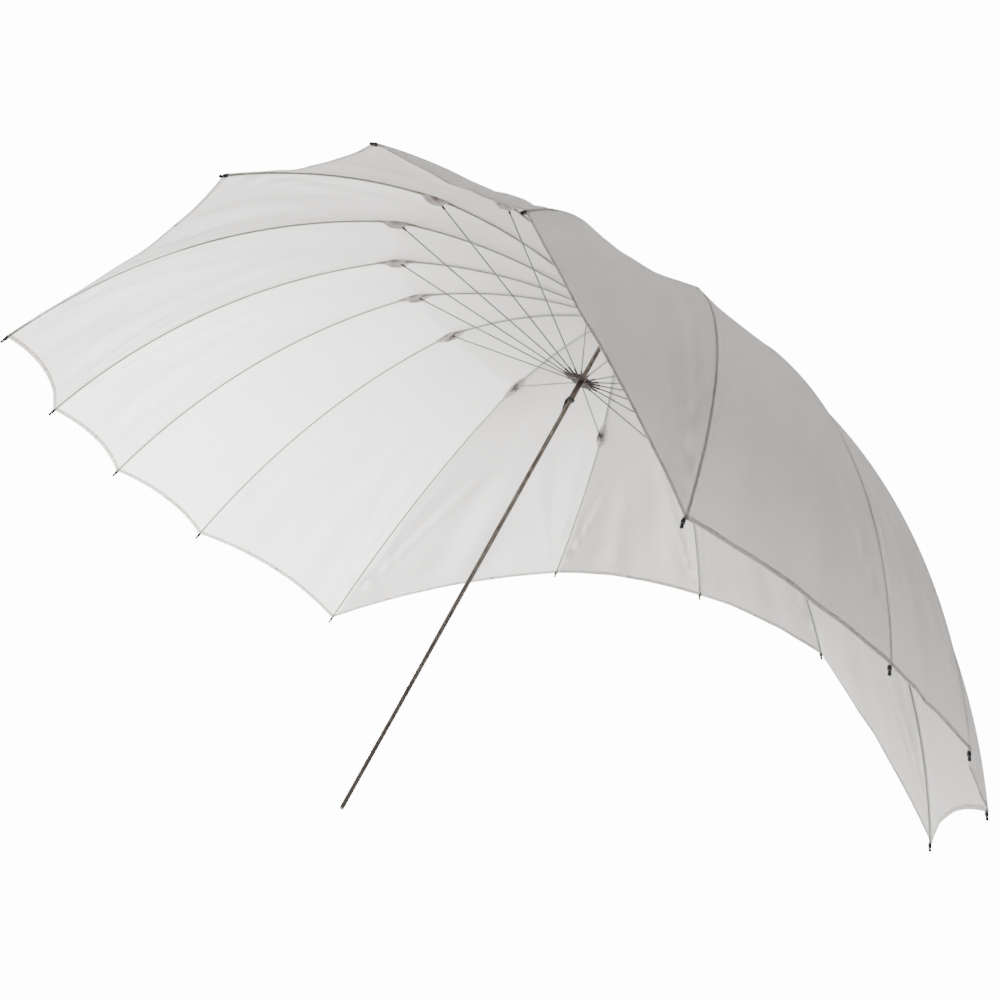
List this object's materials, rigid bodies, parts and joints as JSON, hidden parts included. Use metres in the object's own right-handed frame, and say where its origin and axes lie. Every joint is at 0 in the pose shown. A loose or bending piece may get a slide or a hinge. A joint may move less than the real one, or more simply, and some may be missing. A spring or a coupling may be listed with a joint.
{
  "type": "photographic umbrella",
  "caption": "Large oblong translucent white photo umbrella with curved flexible ribs, hinged stretchers, a sliding runner and a slim shaft that clamps in a light stand bracket.",
  "frame": {"origin": "centre of the shaft's free end", "axes": "+Z along the shaft towards the crown, Y along the long lobes of the canopy, X across them"},
  "size_m": [1.3605, 1.654, 0.9434],
  "materials": {
    "shaft_steel": "dark bronzed steel tube, satin",
    "dark_metal": "blackened steel",
    "bright_metal": "bright metal end cap",
    "dark_plastic": "black moulded plastic",
    "white_fabric": "thin translucent white nylon",
    "glass_fibre": "pale green-grey glass fibre rod",
    "grey_steel": "grey steel rod with dark ferrules"
  },
  "bodies": {
    "root": {"shaft": "shaft_steel", "catch_pivot_pin": "dark_metal", "shaft_end_cap": "bright_metal", "crown": "dark_plastic", "crown_pins": "dark_metal", "crown_cap": "dark_plastic", "canopy": "white_fabric"},
    "rib_inner_01": {"rib_inner_01": "glass_fibre"},
    "rib_outer_01": {"rib_outer_01": "glass_fibre"},
    "stretcher_01": {"stretcher_01": "grey_steel"},
    "rib_inner_02": {"rib_inner_02": "glass_fibre"},
    "rib_outer_02": {"rib_outer_02": "glass_fibre"},
    "stretcher_02": {"stretcher_02": "grey_steel"},
    "rib_inner_03": {"rib_inner_03": "glass_fibre"},
    "rib_outer_03": {"rib_outer_03": "glass_fibre"},
    "stretcher_03": {"stretcher_03": "grey_steel"},
    "rib_inner_04": {"rib_inner_04": "glass_fibre"},
    "rib_outer_04": {"rib_outer_04": "glass_fibre"},
    "stretcher_04": {"stretcher_04": "grey_steel"},
    "rib_inner_05": {"rib_inner_05": "glass_fibre"},
    "rib_outer_05": {"rib_outer_05": "glass_fibre"},
    "stretcher_05": {"stretcher_05": "grey_steel"},
    "rib_inner_06": {"rib_inner_06": "glass_fibre"},
    "rib_outer_06": {"rib_outer_06": "glass_fibre"},
    "stretcher_06": {"stretcher_06": "grey_steel"},
    "rib_inner_07": {"rib_inner_07": "glass_fibre"},
    "rib_outer_07": {"rib_outer_07": "glass_fibre"},
    "stretcher_07": {"stretcher_07": "grey_steel"},
    "rib_inner_08": {"rib_inner_08": "glass_fibre"},
    "rib_outer_08": {"rib_outer_08": "glass_fibre"},
    "stretcher_08": {"stretcher_08": "grey_steel"},
    "rib_inner_09": {"rib_inner_09": "glass_fibre"},
    "rib_outer_09": {"rib_outer_09": "glass_fibre"},
    "stretcher_09": {"stretcher_09": "grey_steel"},
    "rib_inner_10": {"rib_inner_10": "glass_fibre"},
    "rib_outer_10": {"rib_outer_10": "glass_fibre"},
    "stretcher_10": {"stretcher_10": "grey_steel"},
    "rib_inner_11": {"rib_inner_11": "glass_fibre"},
    "rib_outer_11": {"rib_outer_11": "glass_fibre"},
    "stretcher_11": {"stretcher_11": "grey_steel"},
    "rib_inner_12": {"rib_inner_12": "glass_fibre"},
    "rib_outer_12": {"rib_outer_12": "glass_fibre"},
    "stretcher_12": {"stretcher_12": "grey_steel"},
    "rib_inner_13": {"rib_inner_13": "glass_fibre"},
    "rib_outer_13": {"rib_outer_13": "glass_fibre"},
    "stretcher_13": {"stretcher_13": "grey_steel"},
    "rib_inner_14": {"rib_inner_14": "glass_fibre"},
    "rib_outer_14": {"rib_outer_14": "glass_fibre"},
    "stretcher_14": {"stretcher_14": "grey_steel"},
    "rib_inner_15": {"rib_inner_15": "glass_fibre"},
    "rib_outer_15": {"rib_outer_15": "glass_fibre"},
    "stretcher_15": {"stretcher_15": "grey_steel"},
    "rib_inner_16": {"rib_inner_16": "glass_fibre"},
    "rib_outer_16": {"rib_outer_16": "glass_fibre"},
    "stretcher_16": {"stretcher_16": "grey_steel"},
    "runner": {"runner": "dark_metal", "runner_collar": "dark_plastic", "runner_pins": "dark_metal"},
    "runner_catch": {"runner_catch": "dark_metal"}
  },
  "joints": [
    {"name": "fold", "type": "hinge", "parent": "root", "child": "rib_inner_01", "pos_m": [0.014, 0.0002, 0.927], "axis": [-0.014, 0.9999, 0], "range_deg": [0, 76], "deforming": ["canopy"]},
    {"name": "crown_hinge_02", "type": "hinge", "parent": "root", "child": "rib_inner_02", "pos_m": [0.01304, -0.0051, 0.927], "axis": [0.364, 0.9314, 0], "range_deg": [0, 76]},
    {"name": "crown_hinge_03", "type": "hinge", "parent": "root", "child": "rib_inner_03", "pos_m": [0.00966, -0.01013, 0.927], "axis": [0.7237, 0.6901, 0], "range_deg": [0, 76]},
    {"name": "crown_hinge_04", "type": "hinge", "parent": "root", "child": "rib_inner_04", "pos_m": [0.00498, -0.01309, 0.927], "axis": [0.9347, 0.3555, 0], "range_deg": [0, 76]},
    {"name": "crown_hinge_05", "type": "hinge", "parent": "root", "child": "rib_inner_05", "pos_m": [0.0009, -0.01397, 0.927], "axis": [0.9979, 0.0645, 0], "range_deg": [0, 76]},
    {"name": "crown_hinge_06", "type": "hinge", "parent": "root", "child": "rib_inner_06", "pos_m": [-0.00342, -0.01357, 0.927], "axis": [0.9696, -0.2446, 0], "range_deg": [0, 76]},
    {"name": "crown_hinge_07", "type": "hinge", "parent": "root", "child": "rib_inner_07", "pos_m": [-0.00882, -0.01087, 0.927], "axis": [0.7766, -0.63, 0], "range_deg": [0, 76]},
    {"name": "crown_hinge_08", "type": "hinge", "parent": "root", "child": "rib_inner_08", "pos_m": [-0.0129, -0.00543, 0.927], "axis": [0.3878, -0.9217, 0], "range_deg": [0, 76]},
    {"name": "crown_hinge_09", "type": "hinge", "parent": "root", "child": "rib_inner_09", "pos_m": [-0.01398, 0.00073, 0.927], "axis": [-0.0523, -0.9986, 0], "range_deg": [0, 76]},
    {"name": "crown_hinge_10", "type": "hinge", "parent": "root", "child": "rib_inner_10", "pos_m": [-0.0123, 0.00669, 0.927], "axis": [-0.4776, -0.8786, 0], "range_deg": [0, 76]},
    {"name": "crown_hinge_11", "type": "hinge", "parent": "root", "child": "rib_inner_11", "pos_m": [-0.00786, 0.01158, 0.927], "axis": [-0.8274, -0.5615, 0], "range_deg": [0, 76]},
    {"name": "crown_hinge_12", "type": "hinge", "parent": "root", "child": "rib_inner_12", "pos_m": [-0.00255, 0.01377, 0.927], "axis": [-0.9832, -0.1823, 0], "range_deg": [0, 76]},
    {"name": "crown_hinge_13", "type": "hinge", "parent": "root", "child": "rib_inner_13", "pos_m": [0.00144, 0.01393, 0.927], "axis": [-0.9947, 0.1028, 0], "range_deg": [0, 76]},
    {"name": "crown_hinge_14", "type": "hinge", "parent": "root", "child": "rib_inner_14", "pos_m": [0.00515, 0.01302, 0.927], "axis": [-0.93, 0.3677, 0], "range_deg": [0, 76]},
    {"name": "crown_hinge_15", "type": "hinge", "parent": "root", "child": "rib_inner_15", "pos_m": [0.00957, 0.01021, 0.927], "axis": [-0.7296, 0.6839, 0], "range_deg": [0, 76]},
    {"name": "crown_hinge_16", "type": "hinge", "parent": "root", "child": "rib_inner_16", "pos_m": [0.01292, 0.00539, 0.927], "axis": [-0.3852, 0.9228, 0], "range_deg": [0, 76]},
    {"name": "rib_flex_01", "type": "hinge", "parent": "rib_inner_01", "child": "rib_outer_01", "pos_m": [0.39996, 0.00558, 0.864], "axis": [-0.014, 0.9999, 0], "range_deg": [-10.66, 0]},
    {"name": "stretcher_hinge_01", "type": "hinge", "parent": "rib_inner_01", "child": "stretcher_01", "pos_m": [0.39996, 0.00558, 0.864], "axis": [-0.014, 0.9999, 0], "range_deg": [-152.5, 0]},
    {"name": "rib_flex_02", "type": "hinge", "parent": "rib_inner_02", "child": "rib_outer_02", "pos_m": [0.37257, -0.14558, 0.864], "axis": [0.364, 0.9314, 0], "range_deg": [-20.63, 0]},
    {"name": "stretcher_hinge_02", "type": "hinge", "parent": "rib_inner_02", "child": "stretcher_02", "pos_m": [0.37257, -0.14558, 0.864], "axis": [0.364, 0.9314, 0], "range_deg": [-152.5, 0]},
    {"name": "rib_flex_03", "type": "hinge", "parent": "rib_inner_03", "child": "rib_outer_03", "pos_m": [0.27604, -0.28949, 0.864], "axis": [0.7237, 0.6901, 0], "range_deg": [-37.62, 0]},
    {"name": "stretcher_hinge_03", "type": "hinge", "parent": "rib_inner_03", "child": "stretcher_03", "pos_m": [0.27604, -0.28949, 0.864], "axis": [0.7237, 0.6901, 0], "range_deg": [-152.5, 0]},
    {"name": "rib_flex_04", "type": "hinge", "parent": "rib_inner_04", "child": "rib_outer_04", "pos_m": [0.14221, -0.37387, 0.864], "axis": [0.9347, 0.3555, 0], "range_deg": [-38.68, 0]},
    {"name": "stretcher_hinge_04", "type": "hinge", "parent": "rib_inner_04", "child": "stretcher_04", "pos_m": [0.14221, -0.37387, 0.864], "axis": [0.9347, 0.3555, 0], "range_deg": [-152.5, 0]},
    {"name": "rib_flex_05", "type": "hinge", "parent": "rib_inner_05", "child": "rib_outer_05", "pos_m": [0.02581, -0.39917, 0.864], "axis": [0.9979, 0.0645, 0], "range_deg": [-39.22, 0]},
    {"name": "stretcher_hinge_05", "type": "hinge", "parent": "rib_inner_05", "child": "stretcher_05", "pos_m": [0.02581, -0.39917, 0.864], "axis": [0.9979, 0.0645, 0], "range_deg": [-152.5, 0]},
    {"name": "rib_flex_06", "type": "hinge", "parent": "rib_inner_06", "child": "rib_outer_06", "pos_m": [-0.09783, -0.38785, 0.864], "axis": [0.9696, -0.2446, 0], "range_deg": [-39.17, 0]},
    {"name": "stretcher_hinge_06", "type": "hinge", "parent": "rib_inner_06", "child": "stretcher_06", "pos_m": [-0.09783, -0.38785, 0.864], "axis": [0.9696, -0.2446, 0], "range_deg": [-152.5, 0]},
    {"name": "rib_flex_07", "type": "hinge", "parent": "rib_inner_07", "child": "rib_outer_07", "pos_m": [-0.252, -0.31064, 0.864], "axis": [0.7766, -0.63, 0], "range_deg": [-38.54, 0]},
    {"name": "stretcher_hinge_07", "type": "hinge", "parent": "rib_inner_07", "child": "stretcher_07", "pos_m": [-0.252, -0.31064, 0.864], "axis": [0.7766, -0.63, 0], "range_deg": [-152.5, 0]},
    {"name": "rib_flex_08", "type": "hinge", "parent": "rib_inner_08", "child": "rib_outer_08", "pos_m": [-0.3687, -0.15512, 0.864], "axis": [0.3878, -0.9217, 0], "range_deg": [-23.48, 0]},
    {"name": "stretcher_hinge_08", "type": "hinge", "parent": "rib_inner_08", "child": "stretcher_08", "pos_m": [-0.3687, -0.15512, 0.864], "axis": [0.3878, -0.9217, 0], "range_deg": [-152.5, 0]},
    {"name": "rib_flex_09", "type": "hinge", "parent": "rib_inner_09", "child": "rib_outer_09", "pos_m": [-0.39945, 0.02093, 0.864], "axis": [-0.0523, -0.9986, 0], "range_deg": [-14.61, 0]},
    {"name": "stretcher_hinge_09", "type": "hinge", "parent": "rib_inner_09", "child": "stretcher_09", "pos_m": [-0.39945, 0.02093, 0.864], "axis": [-0.0523, -0.9986, 0], "range_deg": [-152.5, 0]},
    {"name": "rib_flex_10", "type": "hinge", "parent": "rib_inner_10", "child": "rib_outer_10", "pos_m": [-0.35143, 0.19103, 0.864], "axis": [-0.4776, -0.8786, 0], "range_deg": [-18.05, 0]},
    {"name": "stretcher_hinge_10", "type": "hinge", "parent": "rib_inner_10", "child": "stretcher_10", "pos_m": [-0.35143, 0.19103, 0.864], "axis": [-0.4776, -0.8786, 0], "range_deg": [-152.5, 0]},
    {"name": "rib_flex_11", "type": "hinge", "parent": "rib_inner_11", "child": "rib_outer_11", "pos_m": [-0.22462, 0.33098, 0.864], "axis": [-0.8274, -0.5615, 0], "range_deg": [-33.05, 0]},
    {"name": "stretcher_hinge_11", "type": "hinge", "parent": "rib_inner_11", "child": "stretcher_11", "pos_m": [-0.22462, 0.33098, 0.864], "axis": [-0.8274, -0.5615, 0], "range_deg": [-152.5, 0]},
    {"name": "rib_flex_12", "type": "hinge", "parent": "rib_inner_12", "child": "rib_outer_12", "pos_m": [-0.07291, 0.3933, 0.864], "axis": [-0.9832, -0.1823, 0], "range_deg": [-31.97, 0]},
    {"name": "stretcher_hinge_12", "type": "hinge", "parent": "rib_inner_12", "child": "stretcher_12", "pos_m": [-0.07291, 0.3933, 0.864], "axis": [-0.9832, -0.1823, 0], "range_deg": [-152.5, 0]},
    {"name": "rib_flex_13", "type": "hinge", "parent": "rib_inner_13", "child": "rib_outer_13", "pos_m": [0.04112, 0.39788, 0.864], "axis": [-0.9947, 0.1028, 0], "range_deg": [-31.37, 0]},
    {"name": "stretcher_hinge_13", "type": "hinge", "parent": "rib_inner_13", "child": "stretcher_13", "pos_m": [0.04112, 0.39788, 0.864], "axis": [-0.9947, 0.1028, 0], "range_deg": [-152.5, 0]},
    {"name": "rib_flex_14", "type": "hinge", "parent": "rib_inner_14", "child": "rib_outer_14", "pos_m": [0.14707, 0.37198, 0.864], "axis": [-0.93, 0.3677, 0], "range_deg": [-31.39, 0]},
    {"name": "stretcher_hinge_14", "type": "hinge", "parent": "rib_inner_14", "child": "stretcher_14", "pos_m": [0.14707, 0.37198, 0.864], "axis": [-0.93, 0.3677, 0], "range_deg": [-152.5, 0]},
    {"name": "rib_flex_15", "type": "hinge", "parent": "rib_inner_15", "child": "rib_outer_15", "pos_m": [0.27357, 0.29182, 0.864], "axis": [-0.7296, 0.6839, 0], "range_deg": [-32, 0]},
    {"name": "stretcher_hinge_15", "type": "hinge", "parent": "rib_inner_15", "child": "stretcher_15", "pos_m": [0.27357, 0.29182, 0.864], "axis": [-0.7296, 0.6839, 0], "range_deg": [-152.5, 0]},
    {"name": "rib_flex_16", "type": "hinge", "parent": "rib_inner_16", "child": "rib_outer_16", "pos_m": [0.36914, 0.15407, 0.864], "axis": [-0.3852, 0.9228, 0], "range_deg": [-15.03, 0]},
    {"name": "stretcher_hinge_16", "type": "hinge", "parent": "rib_inner_16", "child": "stretcher_16", "pos_m": [0.36914, 0.15407, 0.864], "axis": [-0.3852, 0.9228, 0], "range_deg": [-152.5, 0]},
    {"name": "runner_travel", "type": "hinge", "parent": "stretcher_01", "child": "runner", "pos_m": [0.014, 0.0002, 0.801], "axis": [-0.014, 0.9999, 0], "range_deg": [0, 76.5]},
    {"name": "catch_press", "type": "hinge", "parent": "root", "child": "runner_catch", "pos_m": [0.00092, -0.00131, 0.728], "axis": [-0.8192, -0.5736, 0], "range_deg": [0, 8.5], "stiffness_Nm_per_rad": 0.3, "springref_deg": -2.86}
  ],
  "couplings": [
    {"joint": "crown_hinge_02", "follows": "fold", "ratio": 1},
    {"joint": "crown_hinge_03", "follows": "fold", "ratio": 1},
    {"joint": "crown_hinge_04", "follows": "fold", "ratio": 1},
    {"joint": "crown_hinge_05", "follows": "fold", "ratio": 1},
    {"joint": "crown_hinge_06", "follows": "fold", "ratio": 1},
    {"joint": "crown_hinge_07", "follows": "fold", "ratio": 1},
    {"joint": "crown_hinge_08", "follows": "fold", "ratio": 1},
    {"joint": "crown_hinge_09", "follows": "fold", "ratio": 1},
    {"joint": "crown_hinge_10", "follows": "fold", "ratio": 1},
    {"joint": "crown_hinge_11", "follows": "fold", "ratio": 1},
    {"joint": "crown_hinge_12", "follows": "fold", "ratio": 1},
    {"joint": "crown_hinge_13", "follows": "fold", "ratio": 1},
    {"joint": "crown_hinge_14", "follows": "fold", "ratio": 1},
    {"joint": "crown_hinge_15", "follows": "fold", "ratio": 1},
    {"joint": "crown_hinge_16", "follows": "fold", "ratio": 1},
    {"joint": "rib_flex_01", "follows": "fold", "ratio": -0.13363},
    {"joint": "stretcher_hinge_01", "follows": "fold", "ratio": -2},
    {"joint": "rib_flex_02", "follows": "fold", "ratio": -0.2649},
    {"joint": "stretcher_hinge_02", "follows": "fold", "ratio": -2},
    {"joint": "rib_flex_03", "follows": "fold", "ratio": -0.48846},
    {"joint": "stretcher_hinge_03", "follows": "fold", "ratio": -2},
    {"joint": "rib_flex_04", "follows": "fold", "ratio": -0.50241},
    {"joint": "stretcher_hinge_04", "follows": "fold", "ratio": -2},
    {"joint": "rib_flex_05", "follows": "fold", "ratio": -0.50942},
    {"joint": "stretcher_hinge_05", "follows": "fold", "ratio": -2},
    {"joint": "rib_flex_06", "follows": "fold", "ratio": -0.50878},
    {"joint": "stretcher_hinge_06", "follows": "fold", "ratio": -2},
    {"joint": "rib_flex_07", "follows": "fold", "ratio": -0.50052},
    {"joint": "stretcher_hinge_07", "follows": "fold", "ratio": -2},
    {"joint": "rib_flex_08", "follows": "fold", "ratio": -0.30243},
    {"joint": "stretcher_hinge_08", "follows": "fold", "ratio": -2},
    {"joint": "rib_flex_09", "follows": "fold", "ratio": -0.18566},
    {"joint": "stretcher_hinge_09", "follows": "fold", "ratio": -2},
    {"joint": "rib_flex_10", "follows": "fold", "ratio": -0.2309},
    {"joint": "stretcher_hinge_10", "follows": "fold", "ratio": -2},
    {"joint": "rib_flex_11", "follows": "fold", "ratio": -0.4283},
    {"joint": "stretcher_hinge_11", "follows": "fold", "ratio": -2},
    {"joint": "rib_flex_12", "follows": "fold", "ratio": -0.41404},
    {"joint": "stretcher_hinge_12", "follows": "fold", "ratio": -2},
    {"joint": "rib_flex_13", "follows": "fold", "ratio": -0.40624},
    {"joint": "stretcher_hinge_13", "follows": "fold", "ratio": -2},
    {"joint": "rib_flex_14", "follows": "fold", "ratio": -0.40646},
    {"joint": "stretcher_hinge_14", "follows": "fold", "ratio": -2},
    {"joint": "rib_flex_15", "follows": "fold", "ratio": -0.41453},
    {"joint": "stretcher_hinge_15", "follows": "fold", "ratio": -2},
    {"joint": "rib_flex_16", "follows": "fold", "ratio": -0.19119},
    {"joint": "stretcher_hinge_16", "follows": "fold", "ratio": -2},
    {"joint": "runner_travel", "follows": "fold", "ratio": 1}
  ]
}
